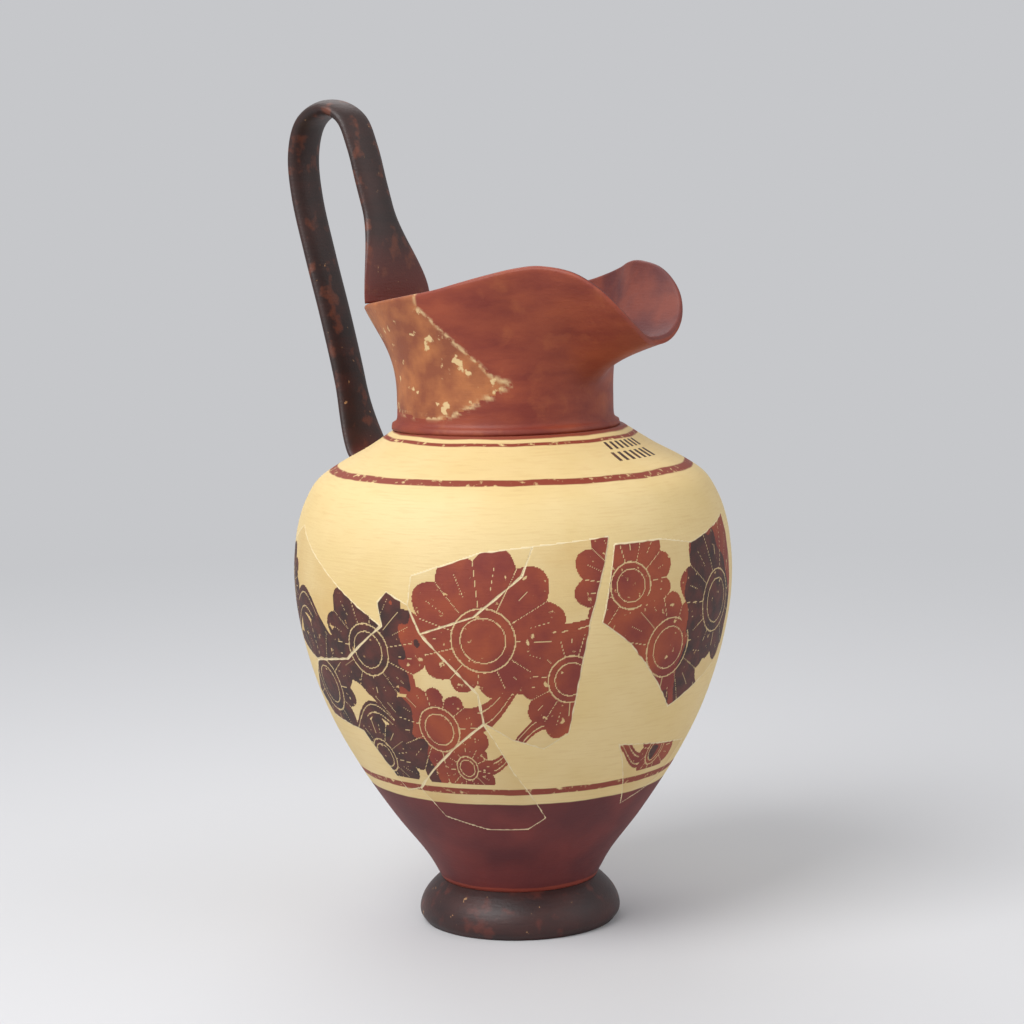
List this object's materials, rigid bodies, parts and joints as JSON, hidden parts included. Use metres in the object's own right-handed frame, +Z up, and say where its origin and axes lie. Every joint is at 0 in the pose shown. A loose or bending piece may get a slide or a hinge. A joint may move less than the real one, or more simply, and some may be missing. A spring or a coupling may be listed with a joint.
{
  "type": "oinochoe",
  "caption": "Mended pottery wine jug with a swelling body, a beaked mouth, a high strap handle and a low foot.",
  "frame": {"origin": "on the body's axis, in the plane that the foot rests on", "axes": "+Z up along the body's axis, +X the way the beak pours, so the handle is on -X"},
  "size_m": [0.2015, 0.175, 0.3317],
  "materials": {
    "foot": "satin",
    "body_wall": "matte",
    "neck_and_mouth": "satin",
    "handle": "satin",
    "neck_sherd": "satin",
    "sherd_left": "satin",
    "sherd_centre_upper": "satin",
    "sherd_centre": "satin",
    "sherd_lower_left": "satin",
    "sherd_lower_centre": "satin",
    "sherd_right": "satin",
    "sherd_lower_right": "satin"
  },
  "bodies": {
    "root": {"foot": "foot", "body_wall": "body_wall", "neck_and_mouth": "neck_and_mouth", "handle": "handle", "neck_sherd": "neck_sherd", "sherd_left": "sherd_left", "sherd_centre_upper": "sherd_centre_upper", "sherd_centre": "sherd_centre", "sherd_lower_left": "sherd_lower_left", "sherd_lower_centre": "sherd_lower_centre", "sherd_right": "sherd_right", "sherd_lower_right": "sherd_lower_right"}
  },
  "joints": []
}
